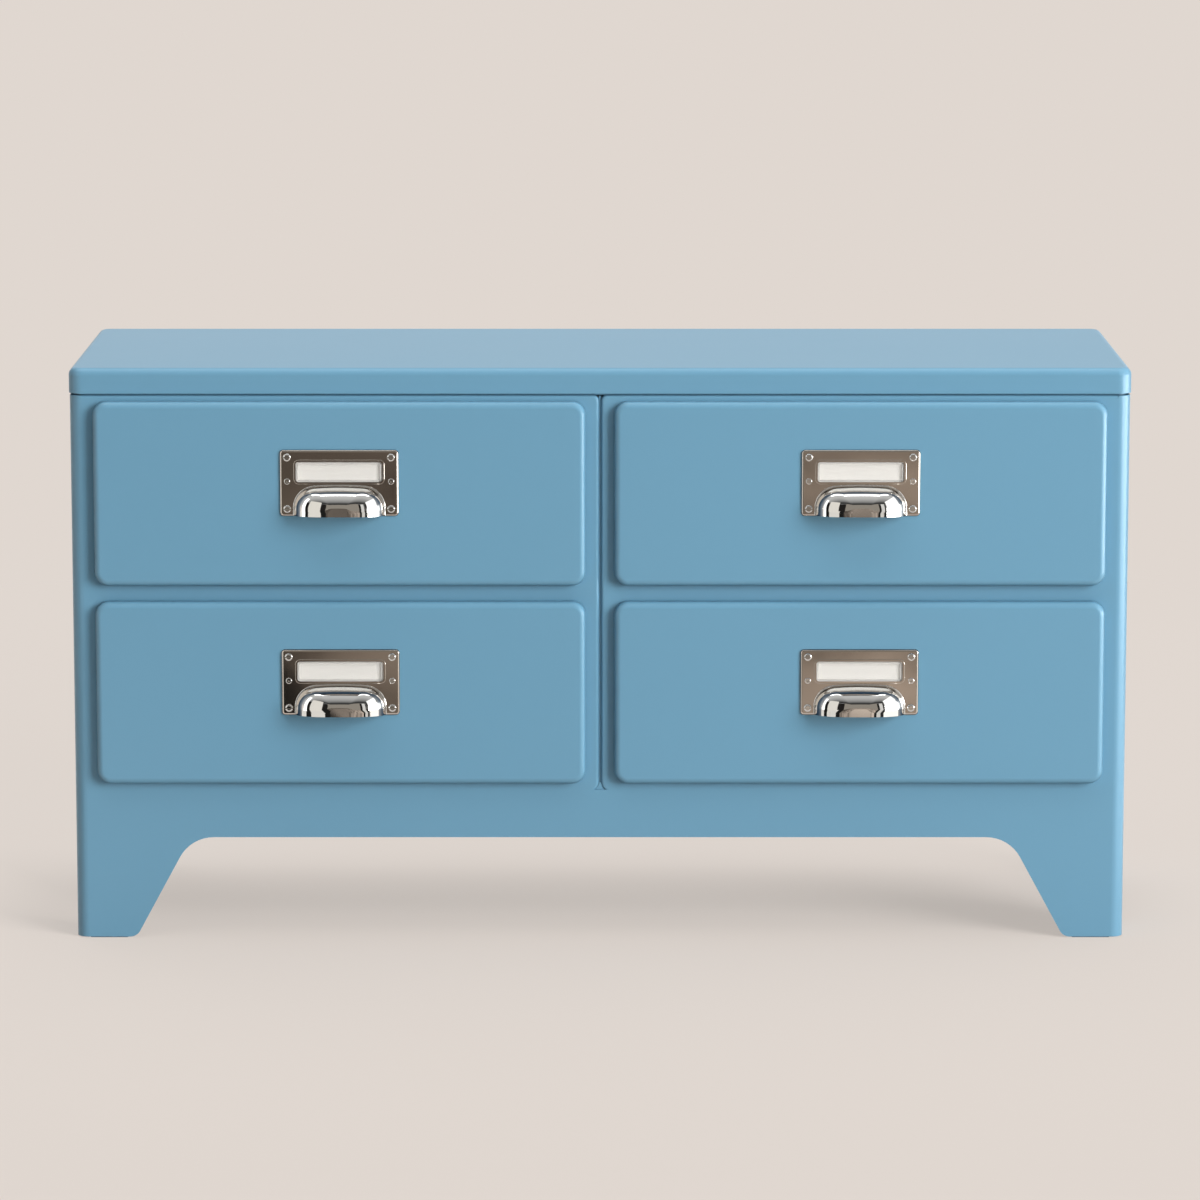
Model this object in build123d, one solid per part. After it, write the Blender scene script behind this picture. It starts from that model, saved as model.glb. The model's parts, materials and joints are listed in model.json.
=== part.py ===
from build123d import *
import math
import os

# Low steel archive cabinet: a folded-sheet case on four legs, with two columns of two drawers.
# Millimetres. X runs to the right of a person who faces the drawers, which open towards -Y. Z is up.
# The origin is on the floor, in the middle of the cabinet's overall box.

# Sheet metal
SHEET = 1.0  # folded panels of the case
PANEL_FLANGE = 12.0  # inward folds of the case panels
CUT_OVERRUN = 6.0  # how far a cutting shape runs past what it cuts

# Drawer fronts
FRONT_WIDTH = 413.0
FRONT_HEIGHT = 156.0
FRONT_GAP = 13.5  # between an upper and a lower front
FRONT_INNER_MARGIN = 11.0  # front frame that shows beside a front, on the cabinet's middle side
FRONT_OUTER_MARGIN = 9.5
FRONT_LOW_MARGIN = 6.5
FRONT_TOP_MARGIN = 4.5
FRONT_PROUD = 10.0  # outer face of a front ahead of the front frame
FRONT_CLEARANCE = 0.8  # between a closed front and the front frame
FRONT_SHEET = 1.0
FRONT_EDGE_RADIUS = 5.5
FRONT_CORNER_RADIUS = 11.5
LINER_SHEET = 0.8

# Front frames
FRAME_OVERLAP = 6.0  # how far a front covers the frame round its opening
FRAME_RETURN = 15.0  # depth of the folds round a frame and round its openings
FRAME_EDGE_RADIUS = 2.5  # along the centre seam and the top; the other edges lie flush
FRAME_CORNER_RADIUS = 4.5  # upper corner beside the centre seam
SEAM_FOOT_RADIUS = 9.0  # lower corner beside the centre seam, which the apron cuts short
PARTITION_THICKNESS = 2.0  # two sheets back to back, which set the gap between the front frames
PARTITION_SETBACK = 3.0  # front edge of the partition behind the face of the frames
TONGUE_SETBACK = 1.2  # apron's tongue at the foot of the seam, behind the face of the frames
BUFFER_RADIUS = 2.2
BUFFER_THICKNESS = 0.5

# Case and legs
CASE_DEPTH = 300.0  # face of the front frames to the rear of the side panels
CORNER_RADIUS = 10.5  # upright corners of the case
PANEL_EDGE_RADIUS = 0.8  # upper edge of the side panels
LEG_HEIGHT = 87.0  # floor to the top of the arch between two legs
APRON_HEIGHT = 41.0  # top of the arch to the foot of the front frames
FOOT_WIDTH = 50.6  # leg on the floor line, before the rounding of its foot
LEG_TOP_WIDTH = 97.8  # leg at the top of the arch
ARCH_RADIUS = 33.0
FOOT_RADIUS = 9.5
ARCH_LIP = 8.0  # depth of the fold along an arch
ARCH_LIP_START = 25.0  # height above the floor where that fold begins
SILL_DEPTH = 28.0  # fold at the top of the apron, which carries the frames
FOOT_LIFT = 0.7  # sheet edges above the floor
GLIDE_WIDTH = 32.0
GLIDE_DEPTH = 28.0
GLIDE_HEIGHT = 13.0
GLIDE_EDGE_RADIUS = 1.5
GLIDE_MARGIN = 1.0  # between a glide and the upright fold of the side panel

# Top
TOP_SHEET = 1.6  # plate under the lid, which sets the dark seam below it
TOP_INSET = 4.0
LID_HEIGHT = 21.2
LID_OVERHANG = 0.7
LID_EDGE_RADIUS = 6.0
LID_FLANGE = 32.0
LID_SCREW_INSET = 24.0
LID_SCREW_RADIUS = 2.0
LID_SCREW_HEAD_RADIUS = 4.0
LID_SCREW_HEAD = 2.4
LID_SCREW_TAIL = 4.0
SCREW_CLEARANCE = 0.15  # round every screw and rivet in its hole

# Runners and rollers
RAIL_SHEET = 1.2
RAIL_SETBACK = 3.0  # front end of the rails behind the face of the frames
RAIL_SIDE_GAP = 1.0  # edge of a rail to the web that it faces
RAIL_LIP = 5.0
RAIL_LIP_GAP = 0.8
RAIL_TAB = 10.0
ROLLER_RADIUS = 9.0
ROLLER_WIDTH = 6.0
ROLLER_EDGE_RADIUS = 0.6
ROLLER_SIDE_GAP = 0.5
ROLLER_RUNNING_GAP = 0.3
ROLLER_END_MARGIN = 2.0
AXLE_RADIUS = 2.5
AXLE_CLEARANCE = 0.05
AXLE_HEAD_RADIUS = 4.0
AXLE_HEAD = 1.0

# Drawer boxes
BOX_SHEET = 0.8
BOX_LIFT = 3.0  # underside of a box above the lower edge of its opening
BOX_HEADROOM = 18.0
BOX_REAR_GAP = 30.0
BOX_HEM = 6.0

# Handle plate with its label holder
PLATE_WIDTH = 99.5
PLATE_HEIGHT = 56.0
PLATE_THICKNESS = 2.2
PLATE_CORNER_RADIUS = 3.0
PLATE_EDGE_RADIUS = 1.8
PLATE_RAISE = 10.0  # middle of the plate above the middle of the front
WINDOW_WIDTH = 72.5
WINDOW_HEIGHT = 17.0
WINDOW_RAISE = 9.5  # middle of the window above the middle of the plate
WINDOW_CORNER_RADIUS = 2.4
BEZEL_WIDTH = 1.8
BEZEL_PROUD = 0.8
POCKET_LAP = 3.0  # label and cover behind the plate, all round the window
POCKET_CLEARANCE = 0.1
CARD_THICKNESS = 0.4
COVER_THICKNESS = 0.6
SCREW_INSET = 6.2
SCREW_RADIUS = 1.75
SCREW_HEAD_RADIUS = 3.4
SCREW_HEAD = 1.9
SCREW_DOME_RADIUS = 1.6
SCREW_SLOT_WIDTH = 0.9
SCREW_SLOT_DEPTH = 0.8
SCREW_TAIL = 1.0
NUT_RADIUS = 3.4
NUT_HEIGHT = 2.4
RIVET_RAISE = 1.5  # middle rivets above the middle of the plate
RIVET_RADIUS = 1.6
RIVET_HEAD_RADIUS = 2.6
RIVET_HEAD = 1.0
RIVET_DOME_RADIUS = 0.7
RIVET_BORE_RADIUS = 1.0
RIVET_TAIL = 0.8

# Cup pull
CUP_WIDTH = 77.5
CUP_HEIGHT = 25.9
CUP_LIFT = 0.8  # lower edge of the cup above the lower edge of the plate
CUP_LIP_RISE = 1.6  # how far that edge rises from the plate to the front of the hood
CUP_PROJECTION = 23.0
CUP_CROWN = 2.2  # rise of the arched top over its shoulders
CUP_CORNER_RADIUS = 19.0
CUP_RIM = 0.8
CUP_RIM_THICKNESS = 1.0
CUP_RIM_RADIUS = 0.6  # outer edge of the rim
CUP_SHEET = 1.2
CUP_SIDE_DRAW = 30.0  # how far each side of the hood draws in from its rim to its front
CUP_TOP_DRAW = 16.5  # and its top
CUP_STATIONS = 6

# Sizes and places that follow from the values above
OPENING_WIDTH = FRONT_WIDTH - 2 * FRAME_OVERLAP
OPENING_HEIGHT = FRONT_HEIGHT - 2 * FRAME_OVERLAP
FRAME_WIDTH = FRONT_INNER_MARGIN + FRONT_WIDTH + FRONT_OUTER_MARGIN
FRAME_HEIGHT = FRONT_LOW_MARGIN + 2 * FRONT_HEIGHT + FRONT_GAP + FRONT_TOP_MARGIN
FRAME_INNER = PARTITION_THICKNESS / 2
FRAME_OUTER = FRAME_INNER + FRAME_WIDTH
COLUMN_X = FRAME_INNER + FRONT_INNER_MARGIN + FRONT_WIDTH / 2
CASE_WIDTH = 2 * (FRAME_OUTER + CORNER_RADIUS)
BASE_HEIGHT = LEG_HEIGHT + APRON_HEIGHT
CASE_TOP = BASE_HEIGHT + FRAME_HEIGHT
LID_BASE = CASE_TOP + TOP_SHEET
LOWER_Z = BASE_HEIGHT + FRONT_LOW_MARGIN + FRONT_HEIGHT / 2
UPPER_Z = LOWER_Z + FRONT_HEIGHT + FRONT_GAP
OVERALL_DEPTH = LID_OVERHANG + CASE_DEPTH + FRONT_PROUD + PLATE_THICKNESS + CUP_PROJECTION
BACK_Y = OVERALL_DEPTH / 2 - LID_OVERHANG
FACE_Y = BACK_Y - CASE_DEPTH
MIDDLE_Y = BACK_Y - CASE_DEPTH / 2
BACK_INNER = BACK_Y - 2 * SHEET
BACK_WIDTH = 2 * (FRAME_OUTER - SHEET)

# Sizes and places within one drawer, whose own origin is in the middle of its opening, on the frame's face
RAIL_SPACE = 2 * ROLLER_SIDE_GAP + ROLLER_WIDTH + AXLE_HEAD + RAIL_SIDE_GAP
RAIL_REACH = RAIL_SPACE - RAIL_SIDE_GAP
RAIL_REAR = BACK_INNER - FACE_Y
BOX_WIDTH = OPENING_WIDTH - 2 * (2 * RAIL_SHEET + RAIL_SPACE)
BOX_LOW = BOX_LIFT - OPENING_HEIGHT / 2
BOX_HIGH = OPENING_HEIGHT / 2 - BOX_HEADROOM
BOX_REAR = RAIL_REAR - BOX_REAR_GAP
TRACK_Z = BOX_LOW + RAIL_SHEET
ROLLER_Z = TRACK_Z + ROLLER_RUNNING_GAP + ROLLER_RADIUS
RIDER_Z = ROLLER_Z + ROLLER_RADIUS + ROLLER_RUNNING_GAP
RAIL_TOP = RIDER_Z + RAIL_SHEET + RAIL_LIP_GAP + RAIL_SHEET
RUNNER_ROLLER_Y = RAIL_SETBACK + ROLLER_END_MARGIN + ROLLER_RADIUS
SLIDE_ROLLER_Y = BOX_REAR - ROLLER_END_MARGIN - ROLLER_RADIUS
FRONT_FACE = -FRONT_PROUD
PLATE_FACE = FRONT_FACE - PLATE_THICKNESS
POCKET_WIDTH = WINDOW_WIDTH + 2 * POCKET_LAP
POCKET_HEIGHT = WINDOW_HEIGHT + 2 * POCKET_LAP
POCKET_DEPTH = CARD_THICKNESS + COVER_THICKNESS + POCKET_CLEARANCE
WINDOW_Z = PLATE_RAISE + WINDOW_RAISE
SCREW_X = PLATE_WIDTH / 2 - SCREW_INSET
SCREW_Z = PLATE_HEIGHT / 2 - SCREW_INSET
CUP_LOW = PLATE_RAISE - PLATE_HEIGHT / 2 + CUP_LIFT

SCREW_PLACES = [(x, PLATE_RAISE + z) for x in (-SCREW_X, SCREW_X) for z in (-SCREW_Z, SCREW_Z)]
RIVET_PLACES = [(x, PLATE_RAISE + RIVET_RAISE) for x in (-SCREW_X, SCREW_X)]
LID_SCREW_YS = (FACE_Y + LID_SCREW_INSET, BACK_Y - LID_SCREW_INSET)
LID_SCREW_PLACES = [(x, y) for x in (-COLUMN_X, COLUMN_X) for y in LID_SCREW_YS]
DRAWERS = {
    "upper_left": (-COLUMN_X, UPPER_Z),
    "upper_right": (COLUMN_X, UPPER_Z),
    "lower_left": (-COLUMN_X, LOWER_Z),
    "lower_right": (COLUMN_X, LOWER_Z),
}


# Plain shapes

def block(x, y, z):
    """Box between a low and a high value on each axis."""
    spans = (x, y, z)
    size = [high - low for low, high in spans]
    middle = [(low + high) / 2 for low, high in spans]
    return Pos(*middle) * Box(*size)


def bar_x(radius, x, y, z):
    """Round bar along X, between two x values."""
    low, high = x
    return Pos((low + high) / 2, y, z) * Rot(0, 90, 0) * Cylinder(radius, high - low)


def bar_y(radius, x, y, z):
    """Round bar along Y, between two y values."""
    low, high = y
    return Pos(x, (low + high) / 2, z) * Rot(90, 0, 0) * Cylinder(radius, high - low)


def bar_z(radius, x, y, z):
    """Round bar along Z, between two z values."""
    low, high = z
    return Pos(x, y, (low + high) / 2) * Cylinder(radius, high - low)


def upright(outline, front, back):
    """An outline drawn with x across and y up, stood upright and given a depth along Y."""
    return Pos(0, back, 0) * extrude(Plane.XZ * outline, back - front)


def slab(width, height, corner, front, back, edge=0):
    """Upright plate with rounded corners, and with its front edge rounded where an edge radius is given."""
    plate = upright(RectangleRounded(width, height, corner), front, back)
    if edge:
        plate = fillet(plate.faces().sort_by(Axis.Y)[0].edges(), edge)
    return plate


def both_sides(shape):
    """A shape with its mirror image in the middle plane, as separate solids."""
    return [shape, mirror(shape, about=Plane.YZ)]


# Case

def arch(span):
    """Outline of the open arch between two legs, with x across and the floor at y = 0."""
    foot = span / 2 - FOOT_WIDTH
    top = span / 2 - LEG_TOP_WIDTH
    below = foot + (foot - top) * CUT_OVERRUN / LEG_HEIGHT
    corners = [(-below, -CUT_OVERRUN), (-top, LEG_HEIGHT), (top, LEG_HEIGHT), (below, -CUT_OVERRUN)]
    outline = make_face(Polyline(*corners, close=True))
    return fillet(outline.vertices().group_by(Axis.Y)[-1], ARCH_RADIUS)


def leg_outline(width, height, span):
    """Outline of a panel that stands on two legs."""
    panel = Pos(0, (height + FOOT_LIFT) / 2) * Rectangle(width, height - FOOT_LIFT)
    panel -= arch(span)
    feet = panel.vertices().group_by(Axis.Y)[0]
    inner = sorted(feet, key=lambda corner: abs(corner.X))[:2]
    return fillet(inner, FOOT_RADIUS)


def arch_lip(span):
    """Outline of the fold along an arch, which begins above the feet."""
    strip = offset(arch(span), SHEET) - arch(span)
    top = LEG_HEIGHT + SHEET
    return strip & (Pos(0, (ARCH_LIP_START + top) / 2) * Rectangle(span, top - ARCH_LIP_START))


def side_panel():
    """Right side panel, folded round both upright corners."""
    outer = CASE_WIDTH / 2
    inner = outer - SHEET
    wrap = RectangleRounded(CASE_WIDTH, CASE_DEPTH, CORNER_RADIUS)
    wrap -= RectangleRounded(CASE_WIDTH - 2 * SHEET, CASE_DEPTH - 2 * SHEET, CORNER_RADIUS - SHEET)
    panel = Pos(0, MIDDLE_Y, 0) * extrude(wrap, CASE_TOP)
    panel = fillet(panel.faces().sort_by(Axis.Z)[-1].outer_wire().edges(), PANEL_EDGE_RADIUS)
    front = block((FRAME_OUTER, outer), (FACE_Y, MIDDLE_Y), (0, CASE_TOP))
    rear = block((FRAME_OUTER - PANEL_FLANGE, outer), (MIDDLE_Y, BACK_Y), (0, CASE_TOP))
    panel &= front + rear
    fold_y = (FACE_Y + SHEET / 2, FACE_Y + FRAME_RETURN)
    panel += block((FRAME_OUTER, FRAME_OUTER + SHEET), fold_y, (0, CASE_TOP))
    outline = Plane.YZ * (Pos(MIDDLE_Y, 0) * leg_outline(CASE_DEPTH, CASE_TOP, CASE_DEPTH))
    panel &= extrude(outline, CASE_WIDTH)
    lip = extrude(Plane.YZ * (Pos(MIDDLE_Y, 0) * arch_lip(CASE_DEPTH)), ARCH_LIP + SHEET)
    panel += Pos(inner - ARCH_LIP, 0, 0) * lip
    flange_y = (FACE_Y + FRAME_RETURN, BACK_INNER - PANEL_FLANGE)
    return panel + block((inner - PANEL_FLANGE, inner), flange_y, (CASE_TOP - SHEET, CASE_TOP))


def frame_outline(inset):
    """Outline of the right front frame about its middle, drawn in by an inset. It runs on below its foot."""
    width = FRAME_WIDTH - 2 * inset
    height = FRAME_HEIGHT - 2 * inset
    outline = Pos(0, -FRAME_EDGE_RADIUS / 2) * Rectangle(width, height + FRAME_EDGE_RADIUS)
    foot = outline.vertices().group_by(Axis.X)[0].sort_by(Axis.Y)[0]
    outline = fillet(foot, SEAM_FOOT_RADIUS - inset)
    top = outline.vertices().group_by(Axis.Y)[-1].sort_by(Axis.X)[0]
    return fillet(top, FRAME_CORNER_RADIUS - inset)


def seam_tongue():
    """Outline of the apron's tongue, which closes the frames' rounded corners at the foot of the seam."""
    reach = FRAME_INNER + SEAM_FOOT_RADIUS
    rise = SEAM_FOOT_RADIUS - FRAME_EDGE_RADIUS
    right = Pos((FRAME_INNER + FRAME_OUTER) / 2, FRAME_HEIGHT / 2) * frame_outline(0)
    tongue = Pos(0, rise / 2) * Rectangle(2 * reach, rise) - right - mirror(right, about=Plane.YZ)
    return Pos(0, BASE_HEIGHT) * tongue


def front_apron():
    """Front panel of the base, with two legs, a folded arch and a sill for the front frames."""
    width = 2 * FRAME_OUTER
    apron = upright(leg_outline(width, BASE_HEIGHT, CASE_WIDTH), FACE_Y, FACE_Y + SHEET)
    apron += upright(arch_lip(CASE_WIDTH), FACE_Y, FACE_Y + SHEET + ARCH_LIP)
    sill_y = (FACE_Y, FACE_Y + SILL_DEPTH)
    apron += block((-FRAME_OUTER, FRAME_OUTER), sill_y, (BASE_HEIGHT - SHEET, BASE_HEIGHT))
    tongue_face = FACE_Y + TONGUE_SETBACK
    return apron + upright(seam_tongue(), tongue_face, tongue_face + SHEET)


def back_panel():
    """Rear panel with two legs, held inside the rear folds of the side panels."""
    panel = upright(leg_outline(BACK_WIDTH, CASE_TOP, CASE_WIDTH), BACK_INNER, BACK_INNER + SHEET)
    panel += upright(arch_lip(CASE_WIDTH), BACK_INNER - ARCH_LIP, BACK_INNER + SHEET)
    flange_y = (BACK_INNER - PANEL_FLANGE, BACK_INNER)
    return panel + block((-BACK_WIDTH / 2, BACK_WIDTH / 2), flange_y, (CASE_TOP - SHEET, CASE_TOP))


def bottom_panel():
    """Floor of the drawer space, under the sill, with folds against both side panels."""
    inner = CASE_WIDTH / 2 - SHEET
    front = FACE_Y + FRAME_RETURN
    top = BASE_HEIGHT - SHEET
    outline = RectangleRounded(2 * inner, BACK_INNER - front, CORNER_RADIUS - SHEET)
    panel = Pos(0, (front + BACK_INNER) / 2, top - SHEET) * extrude(outline, SHEET)
    fold_y = (front + CORNER_RADIUS, BACK_INNER - CORNER_RADIUS)
    fold = block((inner - SHEET, inner), fold_y, (top - SHEET - PANEL_FLANGE, top))
    return panel + both_sides(fold)


def centre_partition():
    """Upright wall between the two columns, standing on the sill and the bottom panel."""
    half = PARTITION_THICKNESS / 2
    wall = block((-half, half), (FACE_Y + PARTITION_SETBACK, BACK_INNER), (BASE_HEIGHT, CASE_TOP - SHEET))
    foot_y = (FACE_Y + SILL_DEPTH, BACK_INNER)
    return wall + block((-half, half + PANEL_FLANGE), foot_y, (BASE_HEIGHT - SHEET, BASE_HEIGHT))


def frame_layer(inset, front, back, edge):
    """Solid of a front frame about its middle, with its front edge rounded along the seam and the top."""
    layer = upright(frame_outline(inset), front, back)
    layer = fillet(layer.faces().sort_by(Axis.Y)[0].edges().sort_by(Axis.X)[:-1], edge)
    half = FRAME_WIDTH / 2
    return layer & block((-half, half), (front, back), (inset - FRAME_HEIGHT / 2, FRAME_HEIGHT / 2))


def front_frame():
    """Right front frame: a pressed sheet with folds round its edge and round two openings."""
    hollow_back = FACE_Y + FRAME_RETURN + CUT_OVERRUN
    frame = frame_layer(0, FACE_Y, FACE_Y + FRAME_RETURN, FRAME_EDGE_RADIUS)
    frame -= frame_layer(SHEET, FACE_Y + SHEET, hollow_back, FRAME_EDGE_RADIUS - SHEET)
    frame = Pos((FRAME_INNER + FRAME_OUTER) / 2, 0, BASE_HEIGHT + FRAME_HEIGHT / 2) * frame
    half_width = OPENING_WIDTH / 2
    half_height = OPENING_HEIGHT / 2
    for middle in (LOWER_Z, UPPER_Z):
        sleeve_x = (COLUMN_X - half_width - SHEET, COLUMN_X + half_width + SHEET)
        sleeve_z = (middle - half_height - SHEET, middle + half_height + SHEET)
        frame += block(sleeve_x, (FACE_Y, FACE_Y + FRAME_RETURN), sleeve_z)
    for middle in (LOWER_Z, UPPER_Z):
        opening_x = (COLUMN_X - half_width, COLUMN_X + half_width)
        opening_z = (middle - half_height, middle + half_height)
        frame -= block(opening_x, (FACE_Y - CUT_OVERRUN, hollow_back), opening_z)
    return frame


def foot_glides():
    """Four plastic glides inside the feet, which stand out a little below the sheet."""
    outer = FRAME_OUTER - GLIDE_MARGIN
    x = (outer - GLIDE_WIDTH, outer)
    glides = []
    for y in ((FACE_Y + SHEET, FACE_Y + SHEET + GLIDE_DEPTH), (BACK_INNER - GLIDE_DEPTH, BACK_INNER)):
        glide = block(x, y, (0, GLIDE_HEIGHT))
        glide = fillet(glide.edges().filter_by(Axis.Z), GLIDE_EDGE_RADIUS)
        glides += both_sides(glide)
    return glides


def drawer_buffers():
    """Soft dots on the front frames that the closed drawers meet."""
    x = OPENING_WIDTH / 2 + FRAME_OVERLAP / 2
    dot = bar_y(BUFFER_RADIUS, x, (-BUFFER_THICKNESS, 0), 0)
    return [Pos(place_x, FACE_Y, place_z) * side
            for place_x, place_z in DRAWERS.values() for side in both_sides(dot)]


# Top

def lid_screw_holes(z):
    """Bars that cut the holes of the lid screws."""
    radius = LID_SCREW_RADIUS + SCREW_CLEARANCE
    return [bar_z(radius, x, y, z) for x, y in LID_SCREW_PLACES]


def top_plate():
    """Flat plate that closes the case and carries the lid."""
    width = CASE_WIDTH - 2 * TOP_INSET
    depth = CASE_DEPTH - 2 * TOP_INSET
    outline = RectangleRounded(width, depth, CORNER_RADIUS - TOP_INSET)
    plate = Pos(0, MIDDLE_Y, CASE_TOP) * extrude(outline, TOP_SHEET)
    return plate - lid_screw_holes((CASE_TOP - CUT_OVERRUN, LID_BASE + CUT_OVERRUN))


def lid_layer(inset, height, edge):
    """Solid pan of the lid, drawn in by an inset, with its top edge rounded."""
    grow = 2 * (LID_OVERHANG - inset)
    corner = CORNER_RADIUS + LID_OVERHANG - inset
    pan = extrude(RectangleRounded(CASE_WIDTH + grow, CASE_DEPTH + grow, corner), height)
    return fillet(pan.faces().sort_by(Axis.Z)[-1].edges(), edge)


def top_lid():
    """Pressed lid with a flange folded inwards under its edge."""
    lid = lid_layer(0, LID_HEIGHT, LID_EDGE_RADIUS)
    lid -= lid_layer(SHEET, LID_HEIGHT - SHEET, LID_EDGE_RADIUS - SHEET)
    reach = 2 * (LID_FLANGE - LID_OVERHANG)
    flange = RectangleRounded(CASE_WIDTH, CASE_DEPTH, CORNER_RADIUS)
    flange -= RectangleRounded(CASE_WIDTH - reach, CASE_DEPTH - reach, CORNER_RADIUS)
    lid += extrude(flange, SHEET)
    lid = Pos(0, MIDDLE_Y, LID_BASE) * lid
    return lid - lid_screw_holes((LID_BASE - CUT_OVERRUN, LID_BASE + SHEET))


def lid_screws():
    """Screws that hold the lid's flange down to the top plate, from below."""
    screws = []
    for x, y in LID_SCREW_PLACES:
        head = bar_z(LID_SCREW_HEAD_RADIUS, x, y, (CASE_TOP - LID_SCREW_HEAD, CASE_TOP))
        shank = bar_z(LID_SCREW_RADIUS, x, y, (CASE_TOP, LID_BASE + SHEET + LID_SCREW_TAIL))
        screws.append(head + shank)
    return screws


# Runners, in a drawer's own frame

def axle(start, direction, y):
    """Riveted axle that stands on a web, with a head that keeps its roller on."""
    shank = ROLLER_WIDTH + 2 * ROLLER_SIDE_GAP
    neck = start + direction * shank
    tip = neck + direction * AXLE_HEAD
    pin = bar_x(AXLE_RADIUS, sorted((start, neck)), y, ROLLER_Z)
    return pin + bar_x(AXLE_HEAD_RADIUS, sorted((neck, tip)), y, ROLLER_Z)


def roller(start, direction, y):
    """Roller with a bore that turns on its axle."""
    near = start + direction * ROLLER_SIDE_GAP
    span = sorted((near, near + direction * ROLLER_WIDTH))
    wheel = bar_x(ROLLER_RADIUS, span, y, ROLLER_Z)
    wheel = fillet(wheel.edges().filter_by(GeomType.CIRCLE), ROLLER_EDGE_RADIUS)
    bore = (span[0] - CUT_OVERRUN, span[1] + CUT_OVERRUN)
    return wheel - bar_x(AXLE_RADIUS + AXLE_CLEARANCE, bore, y, ROLLER_Z)


def runner():
    """Right rail of the case, a channel between the front frame and the back panel."""
    outer = OPENING_WIDTH / 2
    web = outer - RAIL_SHEET
    y = (RAIL_SETBACK, RAIL_REAR)
    rail = block((web, outer), y, (BOX_LOW, RAIL_TOP))
    rail += block((web - RAIL_REACH, web), y, (BOX_LOW, TRACK_Z))
    rail += block((web - RAIL_LIP, web), y, (RAIL_TOP - RAIL_SHEET, RAIL_TOP))
    rail += block((outer, outer + RAIL_TAB), (RAIL_REAR - RAIL_SHEET, RAIL_REAR), (BOX_LOW, RAIL_TOP))
    return rail + axle(web, -1, RUNNER_ROLLER_Y)


def slide():
    """Right rail of a drawer, which rides on the case's roller and carries its own at the rear."""
    inner = BOX_WIDTH / 2
    web = inner + RAIL_SHEET
    y = (RAIL_SETBACK, BOX_REAR)
    rail = block((inner, web), y, (BOX_LOW, RIDER_Z + RAIL_SHEET))
    rail += block((web, web + RAIL_REACH), y, (RIDER_Z, RIDER_Z + RAIL_SHEET))
    return rail + axle(web, 1, SLIDE_ROLLER_Y)


def runner_rollers():
    """Pair of rollers at the front of the case's rails."""
    return both_sides(roller(OPENING_WIDTH / 2 - RAIL_SHEET, -1, RUNNER_ROLLER_Y))


def slide_rollers():
    """Pair of rollers at the rear of a drawer's rails."""
    return both_sides(roller(BOX_WIDTH / 2 + RAIL_SHEET, 1, SLIDE_ROLLER_Y))


# Drawer

def handle_holes(radius, places):
    """Bars that cut holes through a drawer's front and its handle plate."""
    span = (PLATE_FACE - CUT_OVERRUN, FRONT_FACE + FRONT_SHEET + CUT_OVERRUN)
    return [bar_y(radius + SCREW_CLEARANCE, x, span, z) for x, z in places]


def drawer_front():
    """Pressed pan with rounded edges, open at the back."""
    rim = -FRONT_CLEARANCE
    pan = slab(FRONT_WIDTH, FRONT_HEIGHT, FRONT_CORNER_RADIUS, FRONT_FACE, rim, FRONT_EDGE_RADIUS)
    inner_width = FRONT_WIDTH - 2 * FRONT_SHEET
    inner_height = FRONT_HEIGHT - 2 * FRONT_SHEET
    inner_corner = FRONT_CORNER_RADIUS - FRONT_SHEET
    inner_edge = FRONT_EDGE_RADIUS - FRONT_SHEET
    pan -= slab(inner_width, inner_height, inner_corner, FRONT_FACE + FRONT_SHEET, rim, inner_edge)
    return pan - handle_holes(SCREW_RADIUS, SCREW_PLACES) - handle_holes(RIVET_RADIUS, RIVET_PLACES)


def front_liner():
    """Inner skin that closes the pan and joins it to the box."""
    width = FRONT_WIDTH - 2 * FRONT_SHEET
    height = FRONT_HEIGHT - 2 * FRONT_SHEET
    corner = FRONT_CORNER_RADIUS - FRONT_SHEET
    return slab(width, height, corner, -FRONT_CLEARANCE - LINER_SHEET, -FRONT_CLEARANCE)


def drawer_box():
    """Folded tray with hemmed upper edges."""
    half = BOX_WIDTH / 2
    front = -FRONT_CLEARANCE
    inner = half - BOX_SHEET
    inner_y = (front + BOX_SHEET, BOX_REAR - BOX_SHEET)
    tray = block((-half, half), (front, BOX_REAR), (BOX_LOW, BOX_HIGH))
    tray -= block((-inner, inner), inner_y, (BOX_LOW + BOX_SHEET, BOX_HIGH + CUT_OVERRUN))
    hem_z = (BOX_HIGH - BOX_SHEET, BOX_HIGH)
    tray += both_sides(block((half - BOX_HEM, half), (front, BOX_REAR), hem_z))
    return tray + block((-half, half), (BOX_REAR - BOX_HEM, BOX_REAR), hem_z)


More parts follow.
